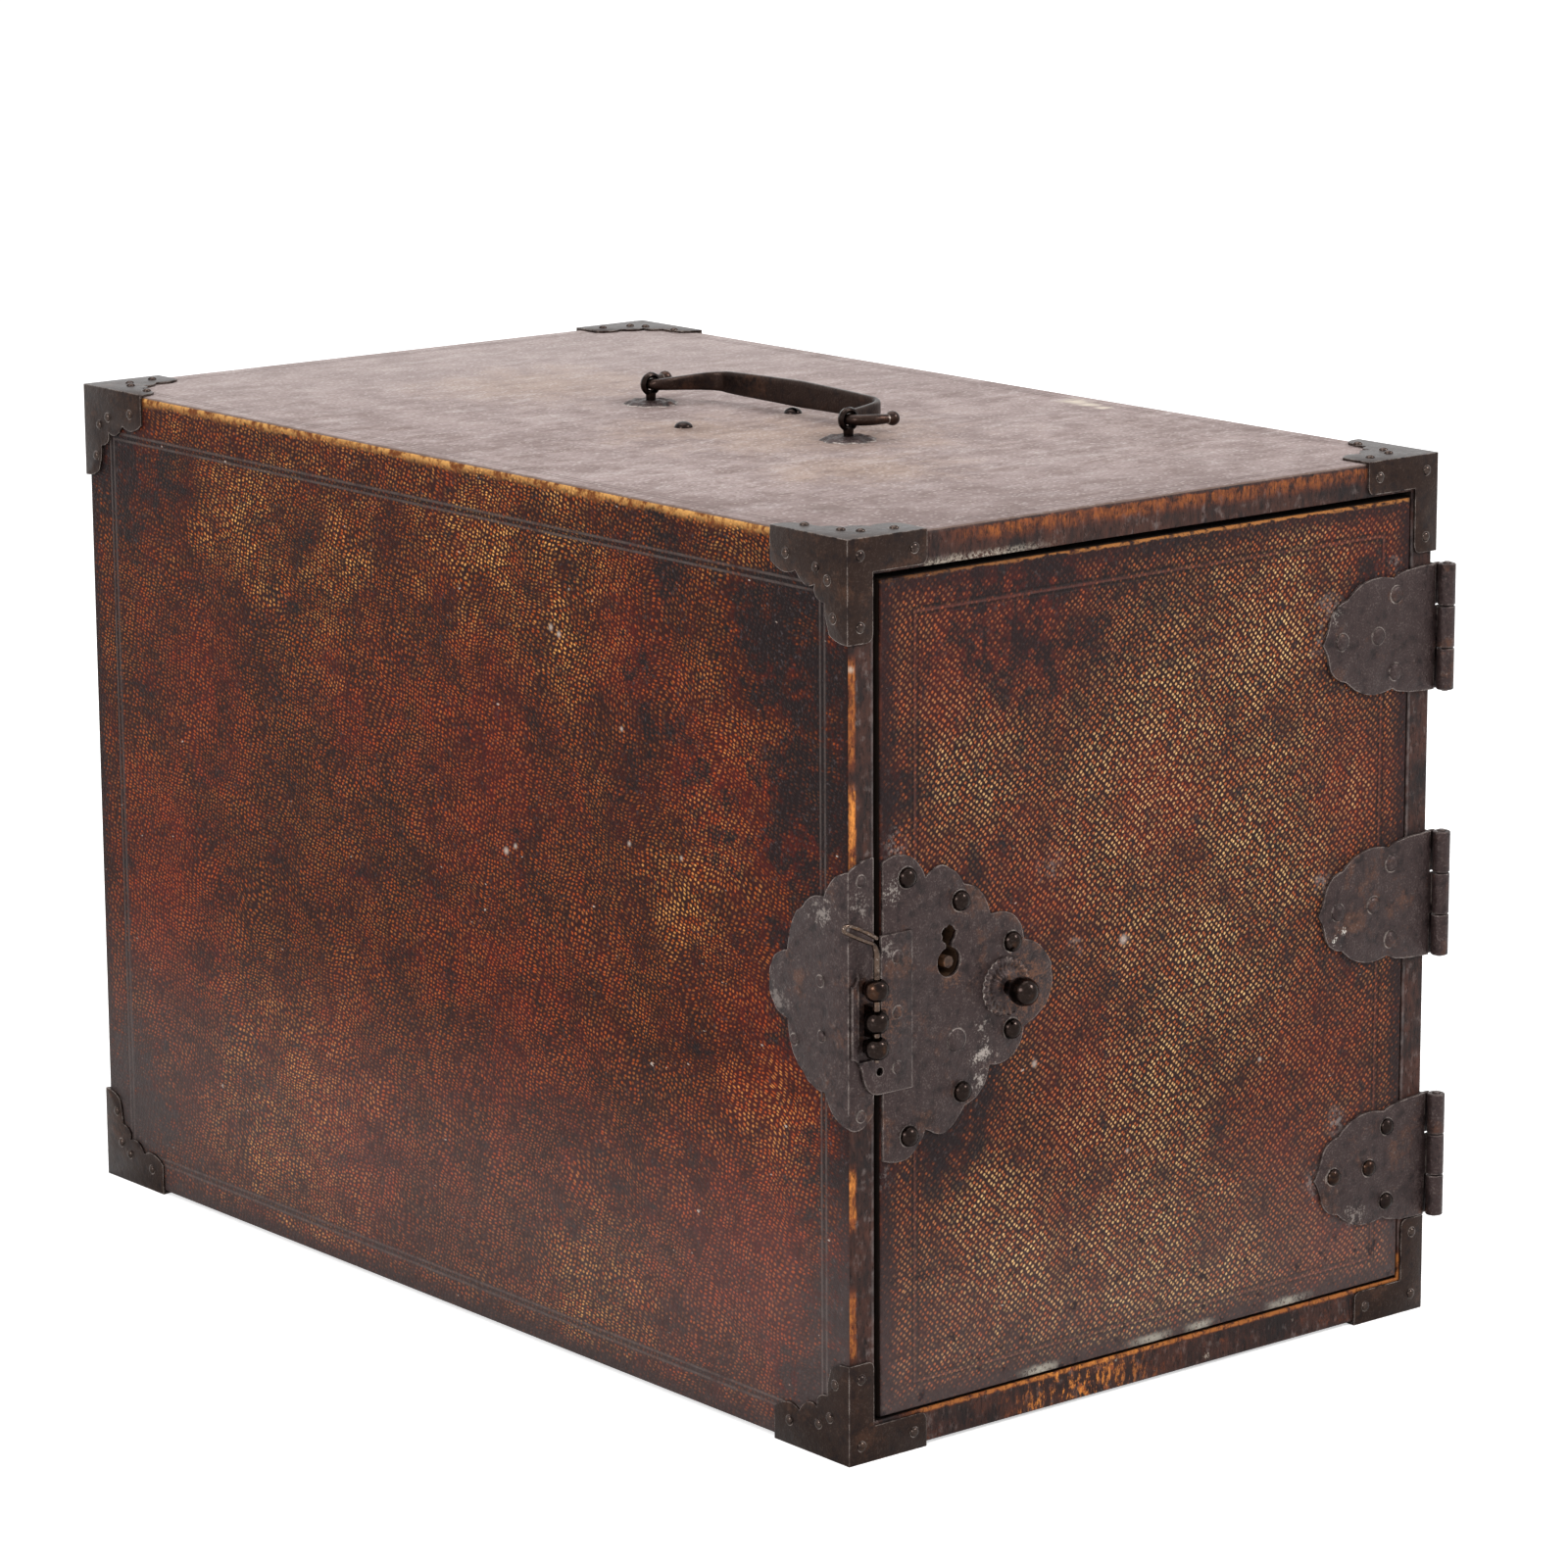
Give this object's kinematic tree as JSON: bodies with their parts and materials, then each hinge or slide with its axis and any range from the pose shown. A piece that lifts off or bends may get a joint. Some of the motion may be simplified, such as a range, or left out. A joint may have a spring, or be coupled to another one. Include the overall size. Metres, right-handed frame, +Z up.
{
  "type": "ships chest",
  "caption": "Leather-covered sea chest that opens at one end by a hinged door, with iron corner caps, lock plate, hasp and pin, drawers inside and a folding handle on top.",
  "frame": {"origin": "middle of the base, on the surface that the corner caps stand on", "axes": "+Z up, +X to the right and +Y to the back for someone who faces the door"},
  "size_m": [0.3164, 0.525, 0.3631],
  "materials": {
    "leather": "worn pebbled leather, red-brown with dark stains",
    "iron": "dark forged iron with bright worn edges and some rust",
    "wood": "old bare softwood boards",
    "drawer_wood": "waxed drawer wood"
  },
  "bodies": {
    "case": {"case_left_board": "wood", "case_right_board": "wood", "case_top_board": "wood", "case_bottom_board": "wood", "case_back_board": "wood", "leather_left": "leather", "leather_right": "leather", "leather_top": "leather", "leather_bottom": "leather", "leather_back": "leather", "leather_front_rim": "leather", "corner_cap_front_left_bottom": "iron", "corner_cap_front_left_top": "iron", "corner_cap_front_right_bottom": "iron", "corner_cap_front_right_top": "iron", "corner_cap_back_left_bottom": "iron", "corner_cap_back_left_top": "iron", "corner_cap_back_right_bottom": "iron", "corner_cap_back_right_top": "iron", "hinge_lower_side_leaf": "iron", "hinge_lower_pin": "iron", "hinge_middle_side_leaf": "iron", "hinge_middle_pin": "iron", "hinge_upper_side_leaf": "iron", "hinge_upper_pin": "iron", "strike_plate": "iron", "staple_upper": "iron", "staple_lower": "iron", "bolt_keeper": "iron", "handle_post_front": "iron", "handle_rosette_front": "iron", "handle_post_back": "iron", "handle_rosette_back": "iron", "stop_stud_left": "iron", "stop_stud_right": "iron", "inner_side_left": "drawer_wood", "inner_side_right": "drawer_wood", "shelf_lower": "drawer_wood", "shelf_upper": "drawer_wood"},
    "door": {"door_panel": "wood", "door_leather": "leather", "lock_plate": "iron", "hasp_plate": "iron", "pull_knob": "iron", "knob_rosette": "iron", "hinge_lower_door_leaf": "iron", "hinge_middle_door_leaf": "iron", "hinge_upper_door_leaf": "iron", "lock_case": "iron", "key_post": "iron", "lock_spring": "iron"},
    "bolt": {"lock_bolt": "iron"},
    "pin": {"lock_pin": "iron"},
    "bail": {"bail_handle": "iron"},
    "drawer_lower": {"drawer_lower_box": "drawer_wood", "drawer_lower_pull": "iron"},
    "drawer_middle": {"drawer_middle_box": "drawer_wood", "drawer_middle_pull": "iron"},
    "drawer_upper": {"drawer_upper_box": "drawer_wood", "drawer_upper_pull": "iron"}
  },
  "joints": [
    {"name": "door_hinge", "type": "hinge", "parent": "case", "child": "door", "pos_m": [0.15473, -0.24868, 0.1725], "axis": [0, 0, 1], "range_deg": [0, 250]},
    {"name": "bail_hinge", "type": "hinge", "parent": "case", "child": "bail", "pos_m": [0.00073, -0.00187, 0.35745], "axis": [0, -1, 0], "range_deg": [0, 180]},
    {"name": "pin_lift", "type": "slide", "parent": "case", "child": "pin", "axis": [0, 0, 1], "range_m": [0, 0.07]},
    {"name": "bolt_slide", "type": "slide", "parent": "door", "child": "bolt", "axis": [-1, 0, 0], "range_m": [0, 0.008]},
    {"name": "drawer_lower_slide", "type": "slide", "parent": "case", "child": "drawer_lower", "axis": [0, -1, 0], "range_m": [0, 0.2]},
    {"name": "drawer_middle_slide", "type": "slide", "parent": "case", "child": "drawer_middle", "axis": [0, -1, 0], "range_m": [0, 0.2]},
    {"name": "drawer_upper_slide", "type": "slide", "parent": "case", "child": "drawer_upper", "axis": [0, -1, 0], "range_m": [0, 0.2]}
  ],
  "couplings": [
    {"joint": "drawer_lower_slide", "follows": "door_hinge", "m_per_rad": 0.043},
    {"joint": "drawer_middle_slide", "follows": "door_hinge", "m_per_rad": 0.034},
    {"joint": "drawer_upper_slide", "follows": "door_hinge", "m_per_rad": 0.025}
  ]
}
